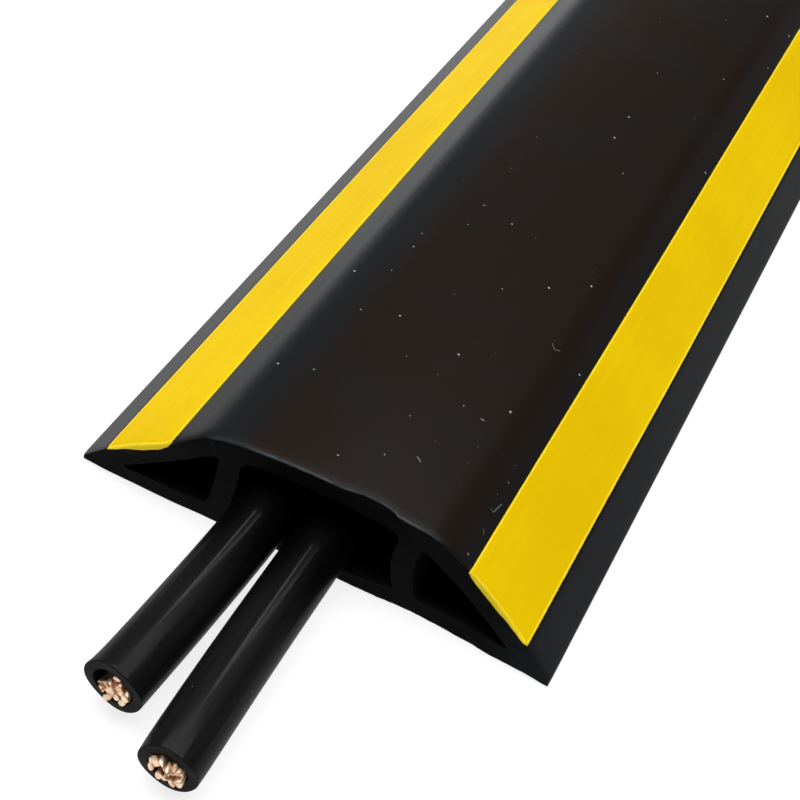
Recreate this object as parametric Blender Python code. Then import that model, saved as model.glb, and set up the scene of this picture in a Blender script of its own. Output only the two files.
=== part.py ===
"""Floor cable protector ramp with two single-core power cables lying in its channel.

The ramp is one black flexible PVC extrusion: an arched crown on two bowed webs bridges the cable
channel, and a hollow side chamber under each slope carries the load to the floor.  A yellow PVC strip
is let into each slope.  The channel floor is slit along its middle, so each half is a flap that bends
open about its root.  Each cable is a thick jacket round nineteen copper strands, cut off square.

Metres, +Z up.  X runs across the ramp, Y along it, and the end with the long cable stubs is at -Y.
The origin is on the floor, in the middle of the ramp.
"""

import math

import bmesh
import bpy
from mathutils import Vector

# Ramp extrusion, outside
RAMP_LENGTH = 0.500
BASE_WIDTH = 0.0830
CROWN_HEIGHT = 0.0204
CROWN_RADIUS = 0.118
SHOULDER_OVERHANG = 0.0014
SHOULDER_FILLET = 0.0090
TOE_BAND_WIDTH = 0.0045
TOE_BAND_HEIGHT = 0.0056
TOE_EDGE = 0.0010
TOE_FILLET = 0.0004
BAND_FILLET = 0.0050

# Ramp extrusion, walls and hollows
ROOF_THICKNESS = 0.0036
BASE_THICKNESS = 0.0037
SLOPE_WALL = 0.0038
SHOULDER_WALL = 0.0041
WEB_THICKNESS = 0.0038
WEB_BOW = 0.0007
CHANNEL_TOP_WIDTH = 0.0272
CHANNEL_FOOT_WIDTH = 0.0288
CHANNEL_FILLET = 0.0010
CHAMBER_FILLET = 0.0006
CHAMBER_SHOULDER_FILLET = 0.0010
CHAMBER_TIP_FILLET = 0.0002

# Yellow strips let into the slopes
STRIP_FOOT_MARGIN = 0.0008
STRIP_HEAD_MARGIN = 0.0069
STRIP_THICKNESS = 0.0012
STRIP_PROUD = 0.00025
STRIP_EDGE_FILLET = 0.0003

# Floor flaps on either side of the loading slit
SLIT_WIDTH = 0.0005
FLAP_EDGE_THICKNESS = 0.0015
FLAP_RECESS = 0.0003

# Cables
STRAND_DIAMETER = 0.00116
STRAND_GAP = 0.00006
BORE_GAP = 0.00012
JACKET_WALL = 0.00166
STRAND_RECESS = 0.0002
CABLE_SIDE_GAP = 0.0003
CABLE_PAIR_GAP = 0.0003
LEFT_STUB = 0.0384
RIGHT_STUB = 0.0450
LEFT_SWAY = -0.0026
RIGHT_SWAY = 0.0004
STUB_DROOP = 0.0014
SWAY_START = 0.0120
REAR_STUB = 0.0250

# Clearance between pieces that touch on the real ramp
SEAT_GAP = 0.0003

# Facets
CROWN_STEPS = 8
WEB_STEPS = 6
FILLET_STEPS = 4
JACKET_SIDES = 20
STUB_STEPS = 6
CHANNEL_STEPS = 18

# Sizes that follow from the ones above
STRAND_PITCH = STRAND_DIAMETER + STRAND_GAP
BUNDLE_DIAMETER = 4 * STRAND_PITCH + STRAND_DIAMETER
BORE_RADIUS = BUNDLE_DIAMETER / 2 + BORE_GAP
CABLE_RADIUS = BORE_RADIUS + JACKET_WALL
FRONT = -RAMP_LENGTH / 2
REAR = RAMP_LENGTH / 2
CROWN_CENTRE = Vector((0.0, CROWN_HEIGHT - CROWN_RADIUS))


def clear_scene():
    """Empty the file, so that the script gives the same part wherever it runs."""
    for item in list(bpy.data.objects):
        bpy.data.objects.remove(item, do_unlink=True)


def material(name, colour, roughness, metallic=0.0):
    """A plain Principled material with the piece's own colour."""
    made = bpy.data.materials.new(name)
    made.use_nodes = True
    shader = made.node_tree.nodes["Principled BSDF"]
    shader.inputs["Base Color"].default_value = (*colour, 1.0)
    shader.inputs["Roughness"].default_value = roughness
    shader.inputs["Metallic"].default_value = metallic
    made.diffuse_color = (*colour, 1.0)
    return made


# Outline helpers, all in the X-Z plane of the cross-section

def arc(centre, radius, start, end, steps):
    """Points on a circle from angle start to angle end, both ends included."""
    angles = [start + (end - start) * step / steps for step in range(steps + 1)]
    return [centre + radius * Vector((math.cos(a), math.sin(a))) for a in angles]


def heading(vector):
    """Angle of a vector from +X towards +Z."""
    return math.atan2(vector.y, vector.x)


def bowed(start, end, bow, steps):
    """Circular arc from start to end that stands off the chord by bow, to the left of the way."""
    chord = end - start
    left = Vector((-chord.y, chord.x)).normalized()
    radius = (chord.length ** 2 / 4 + bow ** 2) / (2 * bow)
    centre = (start + end) / 2 + left * (bow - radius)
    first = heading(start - centre)
    turn = -2 * math.asin(chord.length / (2 * radius))
    return arc(centre, radius, first, first + turn, steps)


def rounded(before, corner, after, radius, steps=FILLET_STEPS):
    """Arc that replaces a corner, tangent to both of its sides and no longer than they are."""
    back = (before - corner).normalized()
    ahead = (after - corner).normalized()
    half = back.angle(ahead) / 2
    reach = min(radius / math.tan(half), 0.45 * (before - corner).length, 0.45 * (after - corner).length)
    radius = reach * math.tan(half)
    centre = corner + (back + ahead).normalized() * (radius / math.sin(half))
    first = heading(corner + back * reach - centre)
    last = heading(corner + ahead * reach - centre)
    turn = (last - first + math.pi) % (2 * math.pi) - math.pi
    return arc(centre, radius, first, first + turn, steps)


def mirrored(points):
    """The same points on the other side of the ramp, in the reverse order."""
    return [Vector((-point.x, point.y)) for point in reversed(points)]


def solid(name, outlines, finish, start, end, origin=(0.0, 0.0)):
    """Extrude a cross-section, the first outline less the others, along Y from start to end."""
    mesh = bpy.data.meshes.new(name)
    shape = bmesh.new()
    for outline in outlines:
        corners = [shape.verts.new((p.x - origin[0], start, p.y - origin[1])) for p in outline]
        for first, second in zip(corners, corners[1:] + corners[:1]):
            shape.edges.new((first, second))
    bmesh.ops.triangle_fill(shape, use_beauty=True, use_dissolve=False, edges=shape.edges[:])
    pushed = bmesh.ops.extrude_face_region(shape, geom=shape.faces[:])["geom"]
    moved = [item for item in pushed if isinstance(item, bmesh.types.BMVert)]
    bmesh.ops.translate(shape, verts=moved, vec=(0.0, end - start, 0.0))
    bmesh.ops.recalc_face_normals(shape, faces=shape.faces[:])
    shape.to_mesh(mesh)
    shape.free()
    mesh.materials.append(finish)
    made = bpy.data.objects.new(name, mesh)
    made.location = (origin[0], 0.0, origin[1])
    bpy.context.scene.collection.objects.link(made)
    return made


# Lines that the ramp's cross-section is drawn on, right-hand side

def crown_point(x, radius=CROWN_RADIUS):
    """Point of the crown's circle, or of one inside it, at a distance x from the middle."""
    return CROWN_CENTRE + Vector((x, math.sqrt(radius ** 2 - x ** 2)))


def slope_line():
    """Foot and head of the flat of the slope: top of the toe band to the crown over the web."""
    foot = Vector((BASE_WIDTH / 2 - TOE_BAND_WIDTH, TOE_BAND_HEIGHT))
    shoulder = CHANNEL_FOOT_WIDTH / 2 + WEB_THICKNESS + SHOULDER_OVERHANG
    return foot, crown_point(shoulder)


def slope_frame():
    """Foot of the slope, the way up it, the way out of it, and its length."""
    foot, head = slope_line()
    up = (head - foot).normalized()
    return foot, up, Vector((-up.y, up.x)) * -1, (head - foot).length


def on_slope(along, out):
    """Point at a distance along the slope from its foot, and a distance out of its face."""
    foot, up, outward, _ = slope_frame()
    return foot + up * along + outward * out


def strip_span():
    """Where a strip starts and ends along the slope."""
    return STRIP_FOOT_MARGIN, slope_frame()[3] - STRIP_HEAD_MARGIN


def shoulder_arc():
    """Arc that is tangent to the slope and, from inside, to the crown."""
    foot, up, outward, _ = slope_frame()
    anchor = foot - outward * SHOULDER_FILLET
    reach = CROWN_RADIUS - SHOULDER_FILLET
    lever = anchor - CROWN_CENTRE
    along = lever.dot(up)
    root = math.sqrt(along ** 2 - lever.dot(lever) + reach ** 2)
    centre = anchor + up * (root - along)
    return arc(centre, SHOULDER_FILLET, heading(centre - CROWN_CENTRE), heading(outward), FILLET_STEPS)


def web_face(offset):
    """Face of the right web from its foot to its top, offset from the channel towards the chamber."""
    foot = Vector((CHANNEL_FOOT_WIDTH / 2 + offset, BASE_THICKNESS))
    top = crown_point(CHANNEL_TOP_WIDTH / 2, CROWN_RADIUS - ROOF_THICKNESS)
    top = Vector((top.x + offset, top.y))
    return bowed(foot, top, WEB_BOW, WEB_STEPS)


# Pieces of the ramp

def body_outline():
    """Outer outline of the extrusion, with the channel open at the bottom between the web feet."""
    shoulder = shoulder_arc()
    crown_end = heading(shoulder[0] - CROWN_CENTRE)
    crown = arc(CROWN_CENTRE, CROWN_RADIUS, math.pi / 2, crown_end, CROWN_STEPS)
    low, high = strip_span()
    depth = STRIP_THICKNESS - STRIP_PROUD + SEAT_GAP
    seat = [
        on_slope(high + SEAT_GAP, 0.0),
        on_slope(high + SEAT_GAP, -depth),
        on_slope(low - SEAT_GAP, -depth),
        on_slope(low - SEAT_GAP, 0.0),
    ]
    foot = slope_line()[0]
    toe = Vector((BASE_WIDTH / 2, TOE_EDGE))
    heel = Vector((BASE_WIDTH / 2, 0.0))
    rail = Vector((CHANNEL_FOOT_WIDTH / 2, 0.0))
    band = rounded(seat[-1], foot, toe, BAND_FILLET)
    tip = rounded(foot, toe, heel, TOE_FILLET) + [heel]
    web = web_face(0.0)
    inner_radius = CROWN_RADIUS - ROOF_THICKNESS
    top_turn = heading(web[-1] - CROWN_CENTRE)
    roof = arc(CROWN_CENTRE, inner_radius, top_turn, math.pi / 2, CROWN_STEPS)
    corner = rounded(web[-2], web[-1], roof[1], CHANNEL_FILLET)
    right = crown + shoulder[1:] + seat + band + tip + [rail] + web[:-1] + corner + roof[1:]
    return right + mirrored(right[1:-1])


def chamber_outline():
    """Outline of the right side chamber, a triangle on the web with its shoulder cut back."""
    web = web_face(WEB_THICKNESS)
    ceiling = crown_point(web[-1].x).y - SHOULDER_WALL
    wall = [point for point in web if point.y < ceiling - CHAMBER_FILLET]
    under = on_slope(0.0, -SLOPE_WALL)
    up = slope_frame()[1]
    tip = under + up * ((BASE_THICKNESS - under.y) / up.y)
    shoulder = under + up * ((ceiling - under.y) / up.y)
    top = Vector((wall[-1].x, ceiling))
    foot = wall[0]
    outline = rounded(tip, foot, wall[1], CHAMBER_FILLET) + wall[1:-1]
    outline += rounded(wall[-1], top, shoulder, CHAMBER_FILLET)
    outline += rounded(top, shoulder, tip, CHAMBER_SHOULDER_FILLET)
    outline += rounded(shoulder, tip, foot, CHAMBER_TIP_FILLET)
    return outline


def strip_outline():
    """Cross-section of the right strip, seated in the slope and standing a little proud of it."""
    low, high = strip_span()
    under = STRIP_PROUD - STRIP_THICKNESS
    corners = [
        on_slope(low, under),
        on_slope(low, STRIP_PROUD),
        on_slope(high, STRIP_PROUD),
        on_slope(high, under),
    ]
    outer = rounded(corners[0], corners[1], corners[2], STRIP_EDGE_FILLET)
    inner = rounded(corners[1], corners[2], corners[3], STRIP_EDGE_FILLET)
    return [corners[0]] + outer + inner + [corners[3]]


def flap_root():
    """Hinge line of the right flap: the lower edge of its root, against the web foot."""
    return Vector((CHANNEL_FOOT_WIDTH / 2 - SEAT_GAP, FLAP_RECESS))


def flap_outline():
    """Cross-section of the right flap, full thickness at its root and thinner at the slit."""
    root = flap_root()
    return [
        Vector((SLIT_WIDTH / 2, FLAP_RECESS)),
        root,
        Vector((root.x, BASE_THICKNESS)),
        Vector((SLIT_WIDTH / 2, FLAP_RECESS + FLAP_EDGE_THICKNESS)),
    ]


def make_ramp(pvc, yellow):
    """The extrusion, its two strips and the two flaps of its channel floor."""
    chamber = chamber_outline()
    solid("ramp_body", [body_outline(), chamber, mirrored(chamber)], pvc, FRONT, REAR)
    strip = strip_outline()
    solid("strip_right", [strip], yellow, FRONT, REAR)
    solid("strip_left", [mirrored(strip)], yellow, FRONT, REAR)
    flap = flap_outline()
    root = flap_root()
    solid("floor_flap_right", [flap], pvc, FRONT, REAR, (root.x, root.y))
    solid("floor_flap_left", [mirrored(flap)], pvc, FRONT, REAR, (-root.x, root.y))


# Cables

def resting_height(x):
    """Height of a cable's centre where it lies on the sloping flap at a distance x from the middle."""
    edge, root, top, slit = flap_outline()
    rise = (top.y - slit.y) / (top.x - slit.x)
    floor = slit.y + rise * (abs(x) - slit.x)
    return floor + (CABLE_RADIUS + SEAT_GAP) * math.hypot(1.0, rise)


def cable_places():
    """Distance of each cable from the middle: one against the left web, the other beside it."""
    web_side = min(point.x for point in web_face(0.0))
    left = -(web_side - CABLE_SIDE_GAP - CABLE_RADIUS)
    return left, left + 2 * CABLE_RADIUS + CABLE_PAIR_GAP


def cable_route(x, stub, sway):
    """Centre line from the rear cut end, straight along the channel, to the drooping front end."""
    height = resting_height(x)
    begin = FRONT + SWAY_START
    straight = [REAR + REAR_STUB - STRAND_RECESS]
    straight += [REAR + (begin - REAR) * step / CHANNEL_STEPS for step in range(CHANNEL_STEPS)]
    route = [Vector((x, REAR + REAR_STUB, height))]
    route += [Vector((x, y, height)) for y in straight]
    tip = FRONT - stub
    bend = [begin + (FRONT - begin) * step / 2 for step in range(2)]
    bend += [FRONT - stub * step / STUB_STEPS for step in range(STUB_STEPS)]
    bend += [tip + STRAND_RECESS, tip]
    for y in bend:
        aside = sway * ((begin - y) / (begin - tip)) ** 2
        down = STUB_DROOP * (max(FRONT - y, 0.0) / stub) ** 2
        route.append(Vector((x + aside, y, height - down)))
    return route


def route_frames(route):
    """Each point of a route with the directions across it and up from it."""
    frames = []
    for place, point in enumerate(route):
        ahead = route[min(place + 1, len(route) - 1)] - route[max(place - 1, 0)]
        across = ahead.cross(Vector((0.0, 0.0, 1.0))).normalized()
        frames.append((point, across, across.cross(ahead).normalized()))
    return frames


def jacket(name, route, finish, carrier):
    """Hollow tube along a route: an outer and an inner ring at each point, joined at both ends."""
    shape = bmesh.new()
    turns = [2 * math.pi * side / JACKET_SIDES for side in range(JACKET_SIDES)]
    rings = []
    for point, across, up in route_frames(route):
        pair = []
        for radius in (CABLE_RADIUS, BORE_RADIUS):
            places = [point + radius * (math.cos(a) * across + math.sin(a) * up) for a in turns]
            pair.append([shape.verts.new(place) for place in places])
        rings.append(pair)
    for skin in (0, 1):
        for this, following in zip(rings, rings[1:]):
            bridge(shape, this[skin], following[skin])
    bridge(shape, rings[0][0], rings[0][1])
    bridge(shape, rings[-1][0], rings[-1][1])
    bmesh.ops.recalc_face_normals(shape, faces=shape.faces[:])
    mesh = bpy.data.meshes.new(name)
    shape.to_mesh(mesh)
    shape.free()
    mesh.shade_smooth()
    mesh.set_sharp_from_angle(angle=math.radians(40))
    mesh.materials.append(finish)
    place_on(carrier, bpy.data.objects.new(name, mesh))


def bridge(shape, first, second):
    """Faces between two rings of as many points each."""
    for side in range(len(first)):
        after = (side + 1) % len(first)
        shape.faces.new((first[side], first[after], second[after], second[side]))


def strand_places():
    """Centres of the strands in the bundle: one in the middle, six round it and twelve round those."""
    places = [(0.0, 0.0)]
    for layer in (1, 2):
        corners = [math.radians(60 * side) for side in range(7)]
        points = [layer * STRAND_PITCH * Vector((math.cos(a), math.sin(a))) for a in corners]
        for start, end in zip(points, points[1:]):
            for step in range(layer):
                spot = start.lerp(end, step / layer)
                places.append((spot.x, spot.y))
    return places


def strand(name, route, aside, above, finish, carrier):
    """One copper wire beside the route, from one recessed end to the other, as a bevelled curve."""
    frames = route_frames(route)
    kept = [frames[1]] + frames[2 + CHANNEL_STEPS:-1]
    wire = bpy.data.curves.new(name, "CURVE")
    wire.dimensions = "3D"
    wire.bevel_depth = STRAND_DIAMETER / 2
    wire.bevel_resolution = 1
    wire.use_fill_caps = True
    line = wire.splines.new("POLY")
    line.points.add(len(kept) - 1)
    for target, (point, across, up) in zip(line.points, kept):
        target.co = (*(point + aside * across + above * up), 1.0)
    wire.materials.append(finish)
    place_on(carrier, bpy.data.objects.new(name, wire))


def place_on(carrier, piece):
    """Parent a piece, drawn in world places, to the empty that slides with its cable."""
    bpy.context.scene.collection.objects.link(piece)
    piece.parent = carrier
    piece.matrix_parent_inverse = carrier.matrix_basis.inverted()


def make_cable(side, x, stub, sway, rubber, copper):
    """A cable with its jacket and strands, on an empty at the channel's mouth."""
    route = cable_route(x, stub, sway)
    carrier = bpy.data.objects.new(f"cable_{side}_slide", None)
    carrier.location = (x, FRONT, resting_height(x))
    bpy.context.scene.collection.objects.link(carrier)
    jacket(f"jacket_{side}", route, rubber, carrier)
    for number, (aside, above) in enumerate(strand_places(), start=1):
        strand(f"strand_{side}_{number:02d}", route, aside, above, copper, carrier)


def main():
    clear_scene()
    pvc = material("black extruded PVC", (0.018, 0.015, 0.014), 0.42)
    yellow = material("yellow extruded PVC", (0.83, 0.56, 0.006), 0.30)
    rubber = material("black cable jacket", (0.012, 0.012, 0.013), 0.34)
    copper = material("bare copper wire", (0.78, 0.52, 0.34), 0.38, 1.0)
    make_ramp(pvc, yellow)
    left, right = cable_places()
    make_cable("left", left, LEFT_STUB, LEFT_SWAY, rubber, copper)
    make_cable("right", right, RIGHT_STUB, RIGHT_SWAY, rubber, copper)
    bpy.context.view_layer.update()


main()
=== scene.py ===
"""Looks of a floor cable ramp with yellow edge strips and two cut power cables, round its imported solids.

Every surface is a profile carried along the ramp or along a cable.  X runs across the ramp, Y along it and
Z up.  The cut end with the long cable stubs is at -Y.  All lengths are in metres.
"""

import math

import bmesh
import bpy
import numpy as np
from bpy.props import FloatProperty, FloatVectorProperty, PointerProperty
from mathutils import Matrix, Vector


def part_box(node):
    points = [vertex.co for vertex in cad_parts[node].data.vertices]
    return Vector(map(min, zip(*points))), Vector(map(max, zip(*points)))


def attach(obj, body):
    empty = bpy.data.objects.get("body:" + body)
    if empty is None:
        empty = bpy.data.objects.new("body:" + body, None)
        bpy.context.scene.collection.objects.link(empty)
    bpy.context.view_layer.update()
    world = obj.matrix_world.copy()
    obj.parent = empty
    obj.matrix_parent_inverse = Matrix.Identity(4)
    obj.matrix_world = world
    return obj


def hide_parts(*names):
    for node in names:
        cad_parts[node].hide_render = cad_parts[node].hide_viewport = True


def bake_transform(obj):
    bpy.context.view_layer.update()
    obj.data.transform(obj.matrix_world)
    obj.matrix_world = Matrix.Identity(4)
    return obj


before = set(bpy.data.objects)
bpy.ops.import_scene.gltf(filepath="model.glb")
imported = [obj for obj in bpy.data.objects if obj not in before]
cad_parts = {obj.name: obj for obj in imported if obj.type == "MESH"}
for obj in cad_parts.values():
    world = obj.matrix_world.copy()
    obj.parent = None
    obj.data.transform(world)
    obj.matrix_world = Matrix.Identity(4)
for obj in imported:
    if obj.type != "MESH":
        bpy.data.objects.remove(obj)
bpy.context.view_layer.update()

bl_info = {
    "name": "Cable protector ramp",
    "version": (1, 0, 0),
    "blender": (4, 5, 0),
    "location": "View3D > Sidebar > Cable Ramp",
    "description": "Builds a floor cable ramp with yellow edge strips and two stranded cables",
    "category": "Add Mesh",
}

MM = 0.001

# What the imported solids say
RAMP_LOW, RAMP_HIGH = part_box("ramp_body")
FRONT = RAMP_LOW.y
REAR = RAMP_HIGH.y
SPAN = REAR - FRONT

# The two sides of the ramp, and which way each lies along X
SIDES = {"left": -1.0, "right": 1.0}
STRAND_NAMES = {side: [f"strand_{side}_{number:02d}" for number in range(1, 20)] for side in SIDES}

# Camera that took the picture: its place, what its three axes point along, and its focal length on 36 mm
CAMERA_PLACE = (0.0563103, -0.3977776, 0.1934867)
CAMERA_RIGHT = (0.8897526, 0.4324130, 0.1461481)
CAMERA_DOWN = (0.4013503, -0.5886748, -0.7016979)
CAMERA_AHEAD = (-0.2173896, 0.6829941, -0.6973240)
CAMERA_LENS = 71.476

# Soft lights: name, place, the point faced, width, height, radiance, and turn about the vertical in degrees
LIGHTS = (
    ("overhead softbox", (-0.20, -0.10, 1.40), (-0.20, -0.10, 0.0), 2.4, 0.86, 4.7, 0.0),
    ("rear strip light", (-0.205, 0.505, 1.278), (0.0, -0.275, 0.01), 0.10, 0.26, 18.0, 0.0),
    ("tube light", (0.10, 0.56, 1.40), (0.10, 0.56, 0.0), 0.60, 0.08, 14.0, 29.0),
)

# How strongly the dim room glows, and the pale wall on its far left
ROOM_GLOW = 0.12
WALL_GLOW = 5.2

# How far the knife wandered along the ramp, in millimetres, at places across it: at the lower edge of the
# front cut, at its upper edge, further still in the nicks of that edge alone, and in the rear cut
LOW_CUT_ACROSS = (-41.5, -37, -25, -19, 7, 12, 14.4, 18, 22, 27, 32, 37, 41.5)
LOW_CUT = (0.2, 0, 0, 0.23, 0.38, 0.5, 0.9, 1.0, 0.83, 0.5, 0, -0.18, -0.58)
TOP_CUT_ACROSS = (-41.5, -32, -28, -14, -8, 0, 12, 18, 20, 24, 30, 33, 36, 41.5)
TOP_CUT = (0, -0.45, -0.42, 0.28, 0.42, 0.55, 0.65, 0.7, 0.85, 1.2, 0.9, 0.6, 0.15, -0.5)
NICK_ACROSS = (-31, -28, -24.3, -21, -19.5, -18.3, -16, -14, 3, 5, 6.5, 8, 9.8, 11.5, 12.6)
NICK = (0, -0.18, -0.61, -0.33, -0.1, -0.31, -0.13, 0, 0, 0.38, 0.7, 0.82, 0.78, 0.55, 0)
REAR_CUT_ACROSS = (-41.5, -25, -12, 0, 10, 22, 33, 41.5)
REAR_CUT = (-0.3, 0.1, 0.3, -0.1, -0.3, 0.15, 0.25, 0.0)

# Where each strip's front end lies along the ramp, in millimetres, at shares of its width from the toe up
LIP_ACROSS = (0.0, 0.045, 0.2, 0.4, 0.6, 0.8, 0.9, 1.0)
LIP = {
    "left": (-0.6, -0.6, -0.55, -0.68, -0.92, -1.2, -1.25, -0.95),
    "right": (0.22, 0.0, 0.35, 0.75, 1.0, 1.1, 1.05, 0.95),
}

# How thick a strip is, in millimetres, at shares of its width from the toe up
THICK_ACROSS = (0.0, 0.18, 0.55, 0.8, 0.92, 1.0)
THICK = (0.35, 0.65, 1.2, 1.2, 0.95, 0.5)

# Scuffs on the right of the crown: where each starts and ends, in millimetres across the ramp and along it
# from the front cut, and how pale it is
SCUFFS = (
    ((22.9, 12.8), (23.4, 12.6), 0.30),
    ((23.4, 12.6), (23.8, 15.1), 0.40),
    ((23.5, 8.8), (23.9, 8.1), 0.22),
    ((9.8, 12.7), (10.6, 12.1), 0.80),
    ((14.6, 26.2), (15.2, 26.2), 0.90),
    ((17.5, 49.8), (18.3, 48.8), 0.35),
    ((18.3, 48.8), (19.2, 49.3), 0.40),
)
SCUFF_WIDTH = 0.22 * MM


def linear(code):
    """Linear colour of an sRGB hex code."""
    parts = np.array([int(code[place:place + 2], 16) for place in (1, 3, 5)]) / 255
    return tuple(np.where(parts <= 0.04045, parts / 12.92, ((parts + 0.055) / 1.055) ** 2.4))


def length(name, default, description):
    """A length that a user may change."""
    return FloatProperty(name=name, description=description, default=default, unit="LENGTH", precision=5)


def colour(name, code, description):
    """A colour that a user may change, given as sRGB hex."""
    return FloatVectorProperty(
        name=name, description=description, default=linear(code), size=3, min=0, max=1, subtype="COLOR"
    )


class RampSizes(bpy.types.PropertyGroup):
    """Sizes of the extruded ramp, its strips and its floor flaps."""

    base_width: length("Base width", RAMP_HIGH.x - RAMP_LOW.x, "Width of the ramp on the floor")
    crown_height: length("Crown height", RAMP_HIGH.z, "Height of the crown over the floor")
    crown_radius: length("Crown radius", 0.118, "Radius of the arched crown")
    shoulder_overhang: length("Shoulder overhang", 0.0014, "How far the shoulder stands outside the web")
    shoulder_fillet: length("Shoulder fillet", 0.0090, "Radius between crown and slope")
    toe_band_width: length("Toe band width", 0.0045, "Width of the bare band outside each strip")
    toe_band_height: length("Toe band height", 0.0056, "Height of that band at the strip")
    toe_edge: length("Toe edge", 0.0010, "Height of the blunt edge of the toe")
    roof_thickness: length("Roof thickness", 0.0036, "Wall over the channel")
    base_thickness: length("Base thickness", 0.0037, "Wall under the side chambers")
    slope_wall: length("Slope wall", 0.0038, "Wall over the side chambers")
    shoulder_wall: length("Shoulder wall", 0.0045, "Wall under the shoulders")
    web_thickness: length("Web thickness", 0.0038, "Thickness of the two webs")
    web_bow: length("Web bow", 0.0007, "How far each web bows towards the channel")
    channel_top: length("Channel top", 0.0272, "Width of the channel under the roof")
    channel_foot: length("Channel foot", 0.0288, "Width of the channel at the floor")
    strip_foot_margin: length("Strip foot margin", 0.0008, "Slope left bare below a strip")
    strip_head_margin: length("Strip head margin", 0.0069, "Slope left bare above a strip")
    strip_thickness: length("Strip thickness", 0.0012, "Thickness of a strip")
    strip_proud: length("Strip proud", 0.00025, "How far a strip stands out of the slope")
    slit: length("Slit", 0.0005, "Width of the loading slit in the channel floor")
    flap_edge: length("Flap edge", 0.0015, "Thickness of a floor flap at the slit")
    flap_recess: length("Flap recess", 0.0003, "Height of a floor flap over the ground")
    edge_roll: length("Edge roll", 0.00032, "How far the knife pressed the top edge of the cut down")


class CableSizes(bpy.types.PropertyGroup):
    """Sizes of the two cables."""

    jacket_radius: length("Jacket radius", 0.0048, "Outer radius of a cable")
    bore_radius: length("Bore radius", 0.00314, "Inner radius of a jacket")
    strand_diameter: length("Strand diameter", 0.00116, "Diameter of a copper strand")
    strand_pitch: length("Strand pitch", 0.00122, "Distance from strand to strand")
    strand_lay: length("Lay", 0.110, "Length of one turn of the stranding")
    left_stub: length("Left stub", 0.0384, "How far the left cable stands out of the front")
    right_stub: length("Right stub", 0.0450, "How far the right cable stands out of the front")
    rear_stub: length("Rear stub", 0.0250, "How far both cables stand out of the rear")
    left_sway: length("Left sway", -0.0026, "Sideways bend of the left stub at its tip")
    right_sway: length("Right sway", 0.0004, "Sideways bend of the right stub at its tip")
    sway_start: length("Sway start", 0.0120, "How far inside the ramp the sideways bend begins")
    droop: length("Droop", 0.0014, "How far a stub hangs down at its tip")


class Finishes(bpy.types.PropertyGroup):
    """Colours of the materials."""

    pvc_warm: colour("Black PVC, warm", "#190f07", "Brownish black of the extrusion")
    # This cool black is also painted beside the crown's middle as a reflection of bluish light
    pvc_cool: colour("Black PVC, cool", "#141517", "Neutral black in its clouds and die lines")
    pvc_cut: colour("Cut PVC", "#070707", "Matte black of the knife-cut ends")
    # Painted light: this grey is painted as a highlight along the crown's cut edges and as bounced light on
    # the right toe's cut face
    pvc_painted_light: colour("Black PVC, painted light", "#40474a", "Grey painted as light on cut edges")
    pvc_inside: colour("Inner PVC", "#14110f", "Deep black of the channel and the chambers")
    strip: colour("Yellow PVC", "#e4bf06", "Yellow of the strips")
    strip_deep: colour("Yellow PVC, deep", "#dcb504", "Deeper yellow in the strips' clouds")
    # Painted highlight: this pale yellow is painted on the strips' edges and cut ends
    strip_highlight: colour("Yellow PVC, painted highlight", "#fbdf30", "Pale yellow of the strips' edges and cuts")
    jacket: colour("Cable jacket", "#171718", "Black of the cable jackets' open ends")
    # Painted shade: the jackets take this deeper black inside the channel and just past its mouths; their die
    # lines darken towards it too
    jacket_shade_and_lines: colour("Cable jacket, inside", "#030303", "Deeper black of the jackets in the channel")
    jacket_cut: colour("Cut cable jacket", "#1e201e", "Dull black of the jackets' cut ends")
    copper: colour("Copper", "#f8dcc0", "Bright copper of fresh cuts")
    copper_dull: colour("Copper, dull", "#dfae8a", "Copper that has tarnished a little")
    dust: colour("Dust", "#98a2a8", "Pale dust and scratches")
    floor: colour("Floor", "#f8f8f8", "Pale studio floor")


# Curves of two numbers, worked out as whole arrays

def smoothstep(share):
    """Share from 0 to 1, eased at both ends: three times its square less twice its cube."""
    share = np.clip(share, 0, 1)
    return share * share * (3 - 2 * share)


def wander(places, values, at):
    """Curve through values at places, level at each of them and eased between one and the next."""
    places = np.asarray(places, float)
    values = np.asarray(values, float)
    after = np.clip(np.searchsorted(places, at), 1, len(places) - 1)
    share = (at - places[after - 1]) / (places[after] - places[after - 1])
    return values[after - 1] + (values[after] - values[after - 1]) * smoothstep(share)


def unit(vector):
    """Vector of length one."""
    return vector / np.linalg.norm(vector)


def heading(vector):
    """Angle of a vector from +X towards +Z."""
    return math.atan2(vector[1], vector[0])


def arc(centre, radius, start, end, count):
    """Points of a circle about centre, from angle start to angle end in equal steps."""
    turn = np.linspace(start, end, count)
    return centre + radius * np.stack([np.cos(turn), np.sin(turn)], axis=1)


def fillet(before, corner, after, radius, count):
    """Arc that replaces a corner: tangent to both sides, with its centre on the line that halves it."""
    back = unit(before - corner)
    ahead = unit(after - corner)
    half = math.acos(np.clip(back @ ahead, -1, 1)) / 2
    reach = radius / math.tan(half)
    centre = corner + unit(back + ahead) * (radius / math.sin(half))
    first = heading(corner + back * reach - centre)
    last = heading(corner + ahead * reach - centre)
    turn = (last - first + math.pi) % math.tau - math.pi
    return arc(centre, radius, first, first + turn, count)


def bowed(start, end, bow, count):
    """Arc from start to end that stands off its chord by bow, to the left of the way."""
    chord = end - start
    span = np.linalg.norm(chord)
    left = np.array([-chord[1], chord[0]]) / span
    radius = (span ** 2 / 4 + bow ** 2) / (2 * bow)
    centre = (start + end) / 2 + left * (bow - radius)
    first = heading(start - centre)
    return arc(centre, radius, first, first - 2 * math.asin(span / (2 * radius)), count)


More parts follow.
